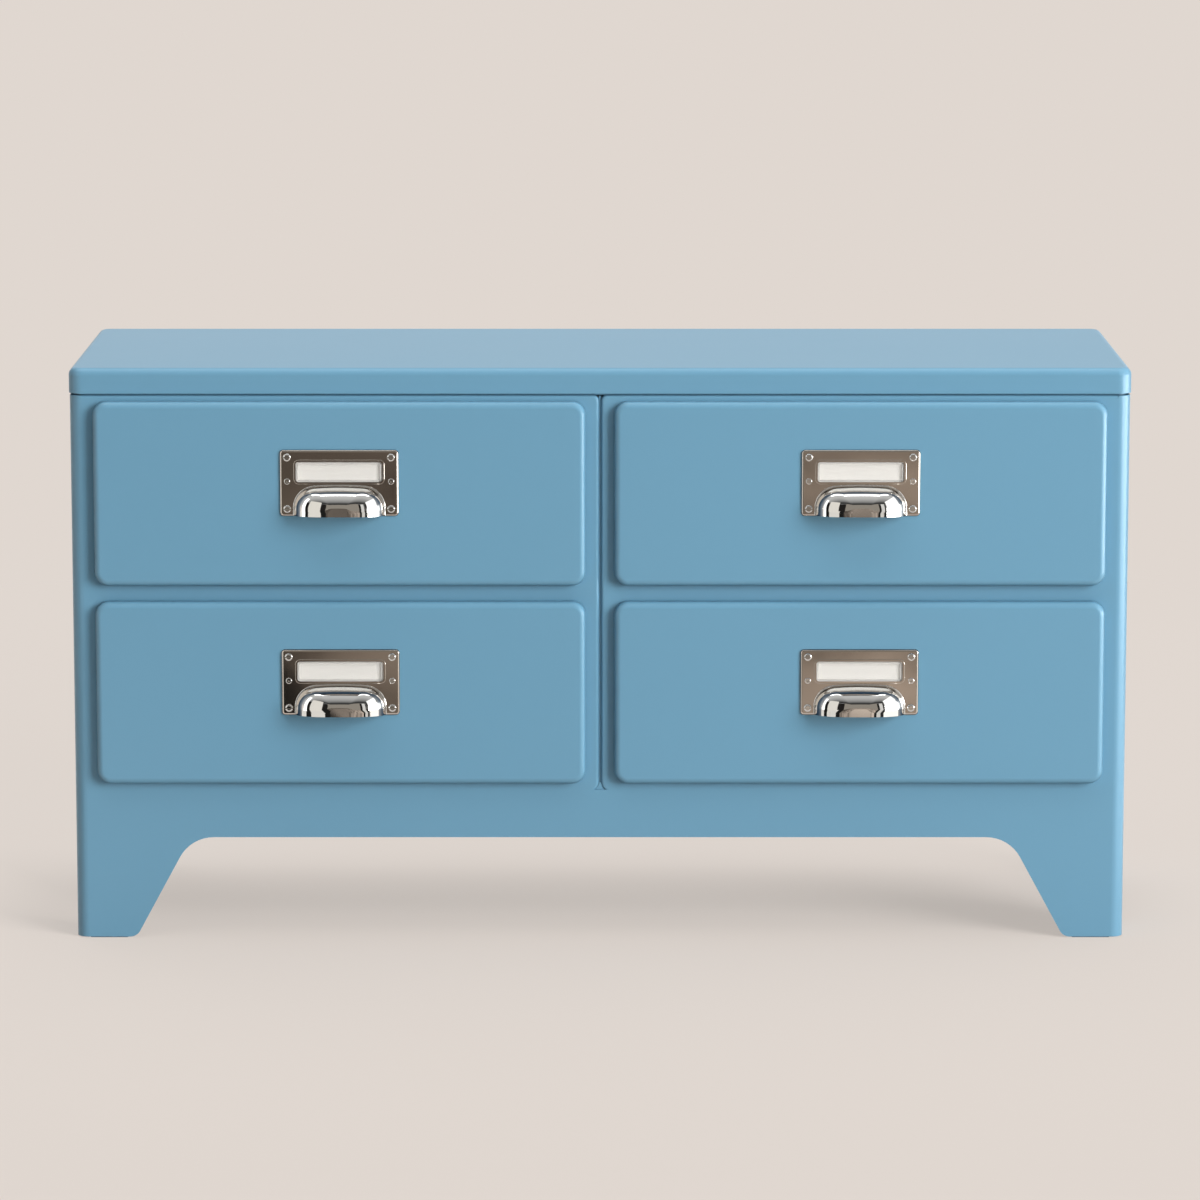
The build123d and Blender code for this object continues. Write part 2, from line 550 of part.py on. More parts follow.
def handle_plate():
    """Plate with a framed window, and a pocket behind it for the label and its cover."""
    plate = slab(PLATE_WIDTH, PLATE_HEIGHT, PLATE_CORNER_RADIUS, PLATE_FACE, FRONT_FACE, PLATE_EDGE_RADIUS)
    plate = Pos(0, 0, PLATE_RAISE) * plate
    bezel_corner = WINDOW_CORNER_RADIUS + BEZEL_WIDTH
    bezel_width = WINDOW_WIDTH + 2 * BEZEL_WIDTH
    bezel_height = WINDOW_HEIGHT + 2 * BEZEL_WIDTH
    bezel_face = PLATE_FACE - BEZEL_PROUD
    bezel = slab(bezel_width, bezel_height, bezel_corner, bezel_face, FRONT_FACE, BEZEL_PROUD / 2)
    plate += Pos(0, 0, WINDOW_Z) * bezel
    window = slab(WINDOW_WIDTH, WINDOW_HEIGHT, WINDOW_CORNER_RADIUS, bezel_face - CUT_OVERRUN, FRONT_FACE)
    plate -= Pos(0, 0, WINDOW_Z) * window
    half = POCKET_WIDTH / 2
    pocket_z = (WINDOW_Z - POCKET_HEIGHT / 2, WINDOW_Z + POCKET_HEIGHT / 2)
    plate -= block((-half, half), (FRONT_FACE - POCKET_DEPTH, FRONT_FACE), pocket_z)
    return plate - handle_holes(SCREW_RADIUS, SCREW_PLACES) - handle_holes(RIVET_RADIUS, RIVET_PLACES)


def pocket_sheet(front, back):
    """Sheet that fits the plate's pocket, between two y values."""
    half = POCKET_WIDTH / 2 - POCKET_CLEARANCE
    half_height = POCKET_HEIGHT / 2 - POCKET_CLEARANCE
    return block((-half, half), (front, back), (WINDOW_Z - half_height, WINDOW_Z + half_height))


def label_card():
    """Paper label that lies against the drawer's front."""
    return pocket_sheet(FRONT_FACE - CARD_THICKNESS, FRONT_FACE)


def label_cover():
    """Clear sheet in front of the label."""
    cover_back = FRONT_FACE - CARD_THICKNESS - POCKET_CLEARANCE
    return pocket_sheet(cover_back - COVER_THICKNESS, cover_back)


def cup_outline(half, top):
    """Outline of the cup pull of a half width and a height, which runs on below its open lower edge."""
    width_share = half / (CUP_WIDTH / 2)
    shoulder = top - CUP_CROWN * width_share
    left, right = (-half, shoulder), (half, shoulder)
    below_left, below_right = (-half, -CUP_HEIGHT), (half, -CUP_HEIGHT)
    edges = Polyline(left, below_left, below_right, right) + ThreePointArc(right, (0, top), left)
    face = make_face(edges)
    return fillet(face.vertices().group_by(Axis.Y)[-1], CUP_CORNER_RADIUS * width_share)


def cup_hood(inset, projection):
    """Solid hood that draws in along quarter ellipses, from the plate out to its front."""
    sections = []
    for station in range(CUP_STATIONS + 1):
        angle = math.pi / 2 * station / CUP_STATIONS
        drawn_share = 1 - math.cos(angle)
        half = CUP_WIDTH / 2 - inset - CUP_SIDE_DRAW * drawn_share
        top = CUP_HEIGHT - inset - CUP_TOP_DRAW * drawn_share
        y = PLATE_FACE - projection * math.sin(angle)
        sections.append(Pos(0, y, 0) * (Plane.XZ * cup_outline(half, top)))
    return loft(sections)


def cup_pull():
    """Pressed hood on a thin rim, open below, with a lower edge that rises towards the front."""
    cup = upright(cup_outline(CUP_WIDTH / 2, CUP_HEIGHT), PLATE_FACE - CUP_RIM_THICKNESS, PLATE_FACE)
    cup = fillet(cup.faces().sort_by(Axis.Y)[0].edges(), CUP_RIM_RADIUS)
    cup += cup_hood(CUP_RIM, CUP_PROJECTION)
    cup -= cup_hood(CUP_RIM + CUP_SHEET, CUP_PROJECTION - CUP_SHEET)
    reach = CUP_PROJECTION + CUT_OVERRUN
    high = CUP_HEIGHT + CUT_OVERRUN
    lip = (PLATE_FACE - reach, CUP_LIP_RISE * reach / CUP_PROJECTION)
    corners = [(PLATE_FACE, 0), lip, (PLATE_FACE - reach, high), (PLATE_FACE, high)]
    cup &= extrude(Plane.YZ * make_face(Polyline(*corners, close=True)), CUP_WIDTH, both=True)
    return Pos(0, 0, CUP_LOW) * cup


def handle_screws():
    """Four domed screws with nuts behind the front's skin, and two hollow rivets."""
    fasteners = []
    skin = FRONT_FACE + FRONT_SHEET
    tail = skin + NUT_HEIGHT + SCREW_TAIL
    for x, z in SCREW_PLACES:
        face = PLATE_FACE - SCREW_HEAD
        head = bar_y(SCREW_HEAD_RADIUS, x, (face, PLATE_FACE), z)
        head = fillet(head.faces().sort_by(Axis.Y)[0].edges(), SCREW_DOME_RADIUS)
        slot_x = (x - SCREW_HEAD_RADIUS, x + SCREW_HEAD_RADIUS)
        slot_z = (z - SCREW_SLOT_WIDTH / 2, z + SCREW_SLOT_WIDTH / 2)
        head -= block(slot_x, (face, face + SCREW_SLOT_DEPTH), slot_z)
        fasteners.append(head + bar_y(SCREW_RADIUS, x, (PLATE_FACE, tail), z))
        nut = upright(RegularPolygon(NUT_RADIUS, 6), skin, skin + NUT_HEIGHT)
        nut -= bar_y(SCREW_RADIUS + SCREW_CLEARANCE, 0, (skin - CUT_OVERRUN, tail + CUT_OVERRUN), 0)
        fasteners.append(Pos(x, 0, z) * nut)
    for x, z in RIVET_PLACES:
        face = PLATE_FACE - RIVET_HEAD
        rivet = bar_y(RIVET_HEAD_RADIUS, x, (face, PLATE_FACE), z)
        rivet = fillet(rivet.faces().sort_by(Axis.Y)[0].edges(), RIVET_DOME_RADIUS)
        rivet += bar_y(RIVET_RADIUS, x, (PLATE_FACE, skin + RIVET_TAIL), z)
        fasteners.append(rivet - bar_y(RIVET_BORE_RADIUS, x, (face - CUT_OVERRUN, FRONT_FACE), z))
    return fasteners


# Files

def save(name, shape, place=Pos(0, 0, 0)):
    """Write one node, a solid or a list of separate solids, at its place."""
    solids = shape if isinstance(shape, list) else [shape]
    moved = [place * solid for solid in solids]
    node = moved[0] if len(moved) == 1 else Compound(children=moved)
    node.label = name
    export_step(node, os.path.join("parts", name + ".step"))


def main():
    os.makedirs("parts", exist_ok=True)
    for name, shape in (("side_panel", side_panel()), ("front_frame", front_frame())):
        save("right_" + name, shape)
        save("left_" + name, mirror(shape, about=Plane.YZ))
    save("front_apron", front_apron())
    save("back_panel", back_panel())
    save("bottom_panel", bottom_panel())
    save("centre_partition", centre_partition())
    save("foot_glides", foot_glides())
    save("drawer_buffers", drawer_buffers())
    save("top_plate", top_plate())
    save("top_lid", top_lid())
    save("lid_screws", lid_screws())
    runners = both_sides(runner())
    pieces = {
        "runner_rollers": runner_rollers(),
        "slide_rollers": slide_rollers(),
        "slides": both_sides(slide()),
        "box": drawer_box(),
        "front": drawer_front(),
        "front_liner": front_liner(),
        "handle_plate": handle_plate(),
        "label_card": label_card(),
        "label_cover": label_cover(),
        "cup_pull": cup_pull(),
        "handle_screws": handle_screws(),
    }
    case_rails = []
    for drawer, (x, z) in DRAWERS.items():
        place = Pos(x, FACE_Y, z)
        case_rails += [place * rail for rail in runners]
        for piece, shape in pieces.items():
            save(f"{drawer}_{piece}", shape, place)
    save("drawer_runners", case_rails)


if __name__ == "__main__":
    main()
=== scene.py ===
# %% [markdown]
# # An archive cabinet in pale blue lacquer
# The cabinet is a low chest of folded sheet steel on four splayed legs. Two columns of two drawers
# stand proud of the case, and each drawer carries a nickel plate with a label window and a chromed
# cup pull.
# Its solids come from a CAD model with real sizes. They are loaded here as a fixed frame, and this
# lesson adds the finishes, the clear label covers, the light and the camera.

# %% Load the frame
import json
import math

import bmesh
import bpy
from mathutils import Matrix, Vector

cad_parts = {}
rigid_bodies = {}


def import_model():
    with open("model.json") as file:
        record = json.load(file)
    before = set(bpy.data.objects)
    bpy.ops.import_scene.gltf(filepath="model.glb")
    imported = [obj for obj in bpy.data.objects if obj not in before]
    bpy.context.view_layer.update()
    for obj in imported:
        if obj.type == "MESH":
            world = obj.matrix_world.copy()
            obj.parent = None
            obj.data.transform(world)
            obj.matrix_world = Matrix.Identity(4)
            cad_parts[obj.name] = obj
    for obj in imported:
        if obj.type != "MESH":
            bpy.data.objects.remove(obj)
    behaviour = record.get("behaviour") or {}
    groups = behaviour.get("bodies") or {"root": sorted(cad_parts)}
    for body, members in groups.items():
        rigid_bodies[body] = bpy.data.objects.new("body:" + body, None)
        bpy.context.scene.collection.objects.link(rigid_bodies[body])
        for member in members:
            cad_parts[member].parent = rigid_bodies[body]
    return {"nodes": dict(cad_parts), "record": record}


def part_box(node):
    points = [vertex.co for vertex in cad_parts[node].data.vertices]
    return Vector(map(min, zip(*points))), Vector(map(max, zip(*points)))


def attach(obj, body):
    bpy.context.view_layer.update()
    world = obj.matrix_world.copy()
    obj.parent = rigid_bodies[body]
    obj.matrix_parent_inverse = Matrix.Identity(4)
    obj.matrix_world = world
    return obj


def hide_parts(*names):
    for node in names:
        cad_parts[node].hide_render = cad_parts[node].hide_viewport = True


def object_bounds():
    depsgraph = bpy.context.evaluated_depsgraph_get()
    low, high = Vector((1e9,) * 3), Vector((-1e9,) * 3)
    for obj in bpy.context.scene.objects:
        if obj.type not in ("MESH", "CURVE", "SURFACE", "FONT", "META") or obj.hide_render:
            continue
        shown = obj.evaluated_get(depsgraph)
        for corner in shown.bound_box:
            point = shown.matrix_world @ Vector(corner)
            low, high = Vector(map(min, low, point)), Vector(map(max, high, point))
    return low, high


for leftover in list(bpy.data.objects):
    bpy.data.objects.remove(leftover)
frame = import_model()
nodes, record = frame["nodes"], frame["record"]
cad_low, cad_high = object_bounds()
cad_size = [round((high - low) * 1000, 1) for low, high in zip(cad_low, cad_high)]
print("CAD box in mm:", cad_size, len(nodes), "nodes")

# %% [markdown]
# ## The camera
# The photograph was taken with a long lens, from straight in front and a little above: the sides
# hardly show, the lid shows as a narrow band. A long lens far away keeps the drawers rectangular.
# The height, the distance and the pitch were fitted to the corners of the case and the drawers, so
# the lens looks down by a little over nine degrees.

# %% Camera
LENS, SENSOR = 164.51, 36.0
CAMERA_PLACE = (0.0, -4.6926, 1.0355)
CAMERA_DOWN = 9.274

scene = bpy.context.scene
camera_data = bpy.data.cameras.new("camera")
camera_data.lens, camera_data.sensor_width = LENS, SENSOR
camera = bpy.data.objects.new("camera", camera_data)
camera.location = CAMERA_PLACE
camera.rotation_euler = (math.radians(90.0 - CAMERA_DOWN), 0.0, 0.0)
scene.collection.objects.link(camera)
scene.camera = camera
scene.view_settings.view_transform = "Standard"
print("camera at", [round(c, 3) for c in camera.location])

# %% [markdown]
# ## Helpers
# Most of what follows is built from shader nodes, so a few short functions make that easier to
# read: one adds a node, one sets its inputs, one links pairs of sockets, one turns a range of
# values into another, and one does sums. The last two tell which rays see a surface, and make an
# object from a function that fills a mesh.

# %% Small helpers
def add_node(tree, kind, **settings):
    node = tree.nodes.new(kind)
    for name, value in settings.items():
        setattr(node, name, value)
    return node


def set_inputs(node, values):
    for name, value in values.items():
        node.inputs[name].default_value = value
    return node


def wire(tree, *pairs):
    for output, socket in pairs:
        tree.links.new(output, socket)


def ramp(tree, value, begin, end, low, high, curve="LINEAR"):
    """A value that goes from low to high while another goes from begin to end."""
    node = add_node(tree, "ShaderNodeMapRange", interpolation_type=curve)
    set_inputs(node, {"From Min": begin, "From Max": end, "To Min": low, "To Max": high})
    wire(tree, (value, node.inputs["Value"]))
    return node.outputs["Result"]


def calculate(tree, operation, *operands):
    """A sum of sockets and plain numbers."""
    node = add_node(tree, "ShaderNodeMath", operation=operation)
    for socket, operand in zip(node.inputs, operands):
        if isinstance(operand, float):
            socket.default_value = operand
        else:
            wire(tree, (operand, socket))
    return node.outputs[0]


def seen_directly(tree):
    """1 for camera, glossy and transmission rays, and 0 for light that is bounced about."""
    path = add_node(tree, "ShaderNodeLightPath").outputs
    mirrored = calculate(tree, "MAXIMUM", path["Is Camera Ray"], path["Is Glossy Ray"])
    return calculate(tree, "MAXIMUM", mirrored, path["Is Transmission Ray"])


def new_object(name, mesh_builder, *arguments):
    """An object at the origin, from a function that fills a bmesh."""
    bm = bmesh.new()
    mesh_builder(bm, *arguments)
    mesh = bpy.data.meshes.new(name)
    bm.to_mesh(mesh)
    bm.free()
    made = bpy.data.objects.new(name, mesh)
    scene.collection.objects.link(made)
    return made


print("helpers are ready")

# %% [markdown]
# ## Surroundings
# Behind and below the cabinet there is one even, warm pale tone with no horizon. A very wide floor
# gives that, if the world behind it has the same tone. Higher up the world turns to a plain grey,
# which only mirrors see. Light that is bounced about meets a weak fill light instead.

# %% World
SWEEP_TONE, UPPER_TONE = (0.745, 0.680, 0.631, 1.0), (0.50, 0.50, 0.50, 1.0)
TURN_BEGIN, TURN_END = 0.06, 0.22
FILL_TONE, FILL_STRENGTH = (1.0, 0.985, 0.965, 1.0), 0.10

world = bpy.data.worlds.new("studio")
scene.world = world
world.use_nodes = True
tree = world.node_tree
tree.nodes.clear()
fill_light = add_node(tree, "ShaderNodeBackground")
set_inputs(fill_light, {"Color": FILL_TONE, "Strength": FILL_STRENGTH})
backdrop = set_inputs(add_node(tree, "ShaderNodeBackground"), {"Strength": 1.0})
height = add_node(tree, "ShaderNodeSeparateXYZ")
shade = add_node(tree, "ShaderNodeMix", data_type="RGBA")
set_inputs(shade, {"A": SWEEP_TONE, "B": UPPER_TONE})
rise = ramp(tree, height.outputs["Z"], TURN_BEGIN, TURN_END, 0.0, 1.0, "SMOOTHSTEP")
choose = add_node(tree, "ShaderNodeMixShader")
wire(tree,
     (add_node(tree, "ShaderNodeTexCoord").outputs["Generated"], height.inputs[0]),
     (rise, shade.inputs["Factor"]),
     (shade.outputs["Result"], backdrop.inputs["Color"]),
     (seen_directly(tree), choose.inputs[0]),
     (fill_light.outputs[0], choose.inputs[1]),
     (backdrop.outputs[0], choose.inputs[2]),
     (choose.outputs[0], add_node(tree, "ShaderNodeOutputWorld").inputs["Surface"]))
print("world with a fill of", FILL_STRENGTH)

# %% [markdown]
# ## Paper sweep
# The floor has to show the cabinet's soft shadow. Its material is a mix: part of it is an ordinary
# matt paper that the lamps light and the cabinet shades, and part glows in the paper's own tone, so
# that the shadow stays as faint as on a brightly lit sweep. The glow grows in three ways, and the
# strongest counts: further out, where it hides how the lamps fade, and just behind and beside the
# cabinet, where the photograph has hardly any shadow. Only what the camera, a mirror or a clear
# sheet sees is treated so, and its matt part is a little lighter: light that bounces from the floor
# to the cabinet comes from the plain matt paper.

# %% Floor
FLOOR_REACH = 40.0
MATT_PAPER, MATT_SEEN = (0.545, 0.497, 0.461, 1.0), (0.630, 0.573, 0.531, 1.0)
GLOW_NEAR = 0.64
# Where the glow begins to grow, where it is fully grown, and its share there
GLOW_ROUND, GLOW_BEHIND, GLOW_BESIDE = (0.75, 1.9, 1.0), (-0.02, 0.26, 0.93), (0.44, 0.56, 0.88)


def paper_sweep(bm):
    bmesh.ops.create_grid(bm, x_segments=1, y_segments=1, size=FLOOR_REACH)


floor = new_object("floor", paper_sweep)
paper = bpy.data.materials.new("sweep_paper")
paper.use_nodes = True
tree = paper.node_tree
tree.nodes.clear()
place = add_node(tree, "ShaderNodeTexCoord").outputs["Object"]
away = add_node(tree, "ShaderNodeVectorMath", operation="LENGTH")
axes = add_node(tree, "ShaderNodeSeparateXYZ")
wire(tree, (place, away.inputs[0]), (place, axes.inputs[0]))
aside = calculate(tree, "ABSOLUTE", axes.outputs["X"])
grown_round, grown_behind, grown_beside = [
    ramp(tree, distance, begin, end, GLOW_NEAR, most, "SMOOTHSTEP")
    for distance, (begin, end, most) in ((away.outputs["Value"], GLOW_ROUND),
                                         (axes.outputs["Y"], GLOW_BEHIND), (aside, GLOW_BESIDE))]
glow_share = calculate(tree, "MAXIMUM", grown_round, grown_behind)
glow_share = calculate(tree, "MAXIMUM", glow_share, grown_beside)
fibres = set_inputs(add_node(tree, "ShaderNodeTexNoise"), {"Scale": 900.0, "Detail": 2.0})
fibre_bump = add_node(tree, "ShaderNodeBump")
set_inputs(fibre_bump, {"Strength": 0.05, "Distance": 0.0005})
seen = seen_directly(tree)
matt_tone = add_node(tree, "ShaderNodeMix", data_type="RGBA")
set_inputs(matt_tone, {"A": MATT_PAPER, "B": MATT_SEEN})
matt = set_inputs(add_node(tree, "ShaderNodeBsdfDiffuse"), {"Roughness": 0.5})
glow = add_node(tree, "ShaderNodeEmission")
set_inputs(glow, {"Color": SWEEP_TONE, "Strength": 1.0})
mix = add_node(tree, "ShaderNodeMixShader")
wire(tree,
     (seen, matt_tone.inputs["Factor"]),
     (matt_tone.outputs["Result"], matt.inputs["Color"]),
     (place, fibres.inputs["Vector"]),
     (fibres.outputs["Fac"], fibre_bump.inputs["Height"]),
     (fibre_bump.outputs["Normal"], matt.inputs["Normal"]),
     (calculate(tree, "MULTIPLY", seen, glow_share), mix.inputs[0]),
     (matt.outputs[0], mix.inputs[1]),
     (glow.outputs[0], mix.inputs[2]),
     (mix.outputs[0], add_node(tree, "ShaderNodeOutputMaterial").inputs["Surface"]))
floor.data.materials.append(paper)
print("floor reaches", FLOOR_REACH, "m")

# %% [markdown]
# ## Lamps
# The drawers' shadows fall to the left and a little downwards, and they have soft edges. So the
# main lamp is a large softbox in front, to the right and above. A wide panel overhead lights the
# lid and fills the shadows, and a softbox at the back keeps the rear from going dull. The power is
# chosen so that a matt colour on the drawer fronts renders about as it is written. The lamps
# themselves are left out of mirrors, because the next step decides what metal shows.

# %% Softboxes
FRONTS = Vector((0.0, -0.13, 0.27))


def softbox(name, place, width, height, radiance, aim=FRONTS):
    """A rectangular lamp that faces a point, with a power from its area and how bright it looks."""
    data = bpy.data.lights.new(name, "AREA")
    data.shape = "RECTANGLE"
    data.size, data.size_y = width, height
    data.energy = radiance * math.pi * width * height
    lamp = bpy.data.objects.new(name, data)
    lamp.location = place
    lamp.rotation_euler = (Vector(aim) - Vector(place)).to_track_quat("-Z", "Y").to_euler()
    lamp.visible_camera = False
    lamp.visible_glossy = False
    scene.collection.objects.link(lamp)
    print(name, round(data.energy, 1), "W at", [round(c, 2) for c in place])


softbox("key_softbox", (6.0, -5.1, 2.55), 4.2, 4.8, radiance=11.6)
softbox("overhead_panel", (0.3, 0.5, 3.6), 5.0, 5.6, radiance=1.78, aim=(0.3, 0.5, 0.0))
softbox("rear_softbox", (-2.6, 5.4, 2.6), 4.6, 3.4, radiance=2.6)

# %% [markdown]
# ## What the metal mirrors
# Polished metal looks like metal because of what it mirrors. So the cabinet gets a room of glowing
# sheets that are seen in mirrors alone: none of them lights the cabinet's colours or shows in a
# view. A sheet can fade along an axis.

# %% Sheets that only mirrors see
def hanging_sheets(bm, sheets):
    """Rectangles of one face, each of which hangs at a place and faces a point."""
    for place, width, height, faces in sheets:
        corners = bmesh.ops.create_grid(bm, x_segments=1, y_segments=1, size=0.5)["verts"]
        bmesh.ops.scale(bm, vec=(width, height, 1.0), verts=corners)
        turn = (Vector(faces) - Vector(place)).to_track_quat("Z", "Y").to_matrix().to_4x4()
        bmesh.ops.transform(bm, matrix=Matrix.Translation(place) @ turn, verts=corners)


def mirror_sheet(name, place, width, height, faces, colour, fades=(), more=()):
    """A glowing sheet. Each fade is an axis, where it starts and ends, and the strength at both."""
    sheet = new_object(name, hanging_sheets, [(place, width, height, faces), *more])
    glow = bpy.data.materials.new(name)
    glow.use_nodes = True
    tree = glow.node_tree
    tree.nodes.clear()
    shine = add_node(tree, "ShaderNodeEmission")
    set_inputs(shine, {"Color": (*colour, 1.0), "Strength": 1.0})
    where = add_node(tree, "ShaderNodeSeparateXYZ")
    wire(tree,
         (add_node(tree, "ShaderNodeTexCoord").outputs["Object"], where.inputs[0]),
         (shine.outputs[0], add_node(tree, "ShaderNodeOutputMaterial").inputs["Surface"]))
    strength = 1.0
    for axis, begin, end, weak, strong in fades:
        faded = ramp(tree, where.outputs[axis], begin, end, weak, strong)
        strength = calculate(tree, "MULTIPLY", strength, faded)
        wire(tree, (strength, shine.inputs["Strength"]))
    sheet.data.materials.append(glow)
    for hidden_from in ("camera", "diffuse", "shadow", "transmission", "volume_scatter"):
        setattr(sheet, "visible_" + hidden_from, False)
    print(name, "in mirrors at", [round(c, 2) for c in place])
    return shine, where


print("sheets for mirrors are ready")

# %% [markdown]
# ## The mirrored room
# The flat plates mirror the studio's brown floor in front of the sweep, which is lighter towards
# the lamp on the right. The cups are curved, so each mirrors the whole room: a dim back wall
# between dark corners, a ceiling that fades away from the lamps, white cards on the left and a
# large screen on the right. The screen is brightest low down, where the drawers' upright edges see
# it: higher up it would burn out the lid in a view from behind.

# %% The mirrored room
WALL_Y, WALL_Z, WALL_HEIGHT, SIDE_X, SIDE_Y, SIDE_DEPTH = -6.0, 1.6, 3.2, 5.6, -3.3, 5.6
ROOM_WIDTH = 2 * SIDE_X
FLOOR_Y, FLOOR_Z, UP = -3.4, 0.012, 9.0
PATCH_X, PATCH_Y = 1.85, -0.1
CEILING_Y, CEILING_Z = -3.25, 3.2

floor_shine, floor_place = mirror_sheet(
    "brown_floor", (0.0, FLOOR_Y, FLOOR_Z), ROOM_WIDTH, 5.3, (0.0, FLOOR_Y, UP), (1.0, 0.83, 0.69),
    fades=[("X", -0.42, 0.42, 0.25, 0.80), ("Y", -3.2, -1.1, 0.45, 0.74)],
    more=[((side * PATCH_X, PATCH_Y, FLOOR_Z), 2.4, 1.3, (side * PATCH_X, PATCH_Y, UP))
          for side in (-1, 1)])
mirror_sheet("back_wall", (0.65, WALL_Y, WALL_Z), 4.3, WALL_HEIGHT, (0.65, 0.0, WALL_Z),
             (0.30, 0.27, 0.23))
mirror_sheet("dark_wall", (0.0, WALL_Y - 0.2, WALL_Z), ROOM_WIDTH, WALL_HEIGHT, (0.0, 0.0, WALL_Z),
             (0.018, 0.016, 0.015))
mirror_sheet("dark_left", (-SIDE_X, SIDE_Y, WALL_Z), SIDE_DEPTH, WALL_HEIGHT, (0.0, SIDE_Y, WALL_Z),
             (0.015, 0.014, 0.014))
mirror_sheet("dark_right", (SIDE_X, SIDE_Y, WALL_Z), SIDE_DEPTH, WALL_HEIGHT, (0.0, SIDE_Y, WALL_Z),
             (0.03, 0.027, 0.025))
mirror_sheet("ceiling", (0.0, CEILING_Y, CEILING_Z), ROOM_WIDTH, 5.5, (0.0, CEILING_Y, 0.0),
             (1.0, 0.99, 0.97), fades=[("Y", -4.2, -0.5, 0.05, 0.62)])
mirror_sheet("top_screen", (0.0, -0.05, 2.4), 3.0, 0.32, (0.0, -0.05, 0.3), (3.2, 3.2, 3.15))
mirror_sheet("left_card", (-1.75, -1.85, 0.95), 1.45, 1.9, (-0.2, -0.15, 0.95), (0.86, 0.82, 0.75))
mirror_sheet("left_edge_card", (-1.5, -0.42, 0.75), 0.34, 1.5, (-0.2, -0.15, 0.75),
             (1.6, 1.6, 1.58))
mirror_sheet("right_stripe", (3.3, -4.8, 1.3), 0.85, 2.6, (0.0, -0.15, 1.3), (0.75, 0.73, 0.70))
mirror_sheet("right_screen", (1.9, -0.85, 0.95), 2.1, 1.9, (0.0, -0.85, 0.95), (1.0, 1.0, 0.99),
             fades=[("Z", 0.5, 0.75, 10.0, 1.3)])

# %% [markdown]
# ## Streaks on the mirrored floor
# A plate that mirrors one even brown would look painted. Long soft streaks on the mirrored floor,
# from a stretched noise, give each plate darker and lighter parts.

# %% Streaks on the mirrored floor
STREAKS_PER_METRE = (9.0, 3.0, 1.0)
NOISE_LOW, NOISE_HIGH = 0.36, 0.62
STREAK_DARK, STREAK_LIGHT = 0.45, 1.25

tree = floor_shine.id_data
plain_strength = floor_shine.inputs["Strength"].links[0]
stretched = add_node(tree, "ShaderNodeVectorMath", operation="MULTIPLY")
set_inputs(stretched, {1: STREAKS_PER_METRE})
streaks = set_inputs(add_node(tree, "ShaderNodeTexNoise"), {"Scale": 1.0, "Detail": 1.0})
streak = ramp(tree, streaks.outputs["Fac"], NOISE_LOW, NOISE_HIGH, STREAK_DARK, STREAK_LIGHT)
brown = add_node(tree, "ShaderNodeVectorMath", operation="SCALE")
set_inputs(brown, {0: floor_shine.inputs["Color"].default_value[:3]})
wire(tree,
     (floor_place.inputs[0].links[0].from_socket, stretched.inputs[0]),
     (stretched.outputs["Vector"], streaks.inputs["Vector"]),
     (calculate(tree, "MULTIPLY", streak, plain_strength.from_socket), brown.inputs["Scale"]))
tree.links.remove(plain_strength)
print("streaks on the mirrored floor from", STREAK_DARK, "to", STREAK_LIGHT)

# %% [markdown]
# ## Sectors of the mirrored floor
# The lower part of a cup is upright and mirrors the floor, not the walls. So the mirrored floor
# goes on with what stands behind it, sector by sector round the cabinet: the edge card, dark, the
# white card, dark, the brown floor that the plates show, and so on to the bright screen. A colour
# ramp over the direction on the floor does that, with no new sheets.

# %% Sectors of the mirrored floor
# Where a sector begins in degrees, its tone, and whether it covers the brown
SECTORS = [(-90, 0.86, 1), (-76, 0.015, 1), (-61, 0.82, 1), (-27, 0.015, 1), (-15, 0.0, 0),
           (24, 0.02, 1), (30, 0.72, 1), (39, 0.025, 1), (47, 1.3, 1)]
WARM_GREEN, WARM_BLUE = 0.96, 0.89
PLATES_Y = -0.15
QUARTER_TURN = math.pi / 2

ahead = calculate(tree, "SUBTRACT", PLATES_Y, floor_place.outputs["Y"])
turn = calculate(tree, "ARCTAN2", floor_place.outputs["X"], ahead)
sectors = add_node(tree, "ShaderNodeValToRGB")
sectors.color_ramp.interpolation = "CONSTANT"
stops = sectors.color_ramp.elements
stops.remove(stops[1])
for degrees, tone, cover in SECTORS:
    stop = stops[0] if degrees == SECTORS[0][0] else stops.new((degrees + 90) / 180)
    stop.color = (tone, tone * WARM_GREEN, tone * WARM_BLUE, cover)
painted = add_node(tree, "ShaderNodeMix", data_type="RGBA")
wire(tree,
     (ramp(tree, turn, -QUARTER_TURN, QUARTER_TURN, 0.0, 1.0), sectors.inputs["Fac"]),
     (sectors.outputs["Alpha"], painted.inputs["Factor"]),
     (brown.outputs["Vector"], painted.inputs["A"]),
     (sectors.outputs["Color"], painted.inputs["B"]),
     (painted.outputs["Result"], floor_shine.inputs["Color"]))
print("sectors on the mirrored floor:", len(SECTORS))

# %% [markdown]
# ## Effects that several finishes share
# Real surfaces are never one value all over. Three effects come back in most finishes here, and
# each is built once as a node group: a cloudy change of tone, patches of more and less gloss, and a
# fine ripple that bends reflections. They read Object coordinates. The pieces sit at the origin, so
# a pattern has its true size in metres everywhere.

# %% Start of a node group
NOISE_ROUGHNESS, NOISE_MIDDLE = 0.55, 0.5


def effect(name, inputs, output, kind):
    """An empty group with its inputs and one output."""
    group = bpy.data.node_groups.new(name, "ShaderNodeTree")
    for label, input_kind, value in inputs:
        socket = group.interface.new_socket(label, in_out="INPUT", socket_type=input_kind)
        socket.default_value = value
    group.interface.new_socket(output, in_out="OUTPUT", socket_type=kind)
    given, result = group.nodes.new("NodeGroupInput"), group.nodes.new("NodeGroupOutput")
    return group, given.outputs, result.inputs[output]


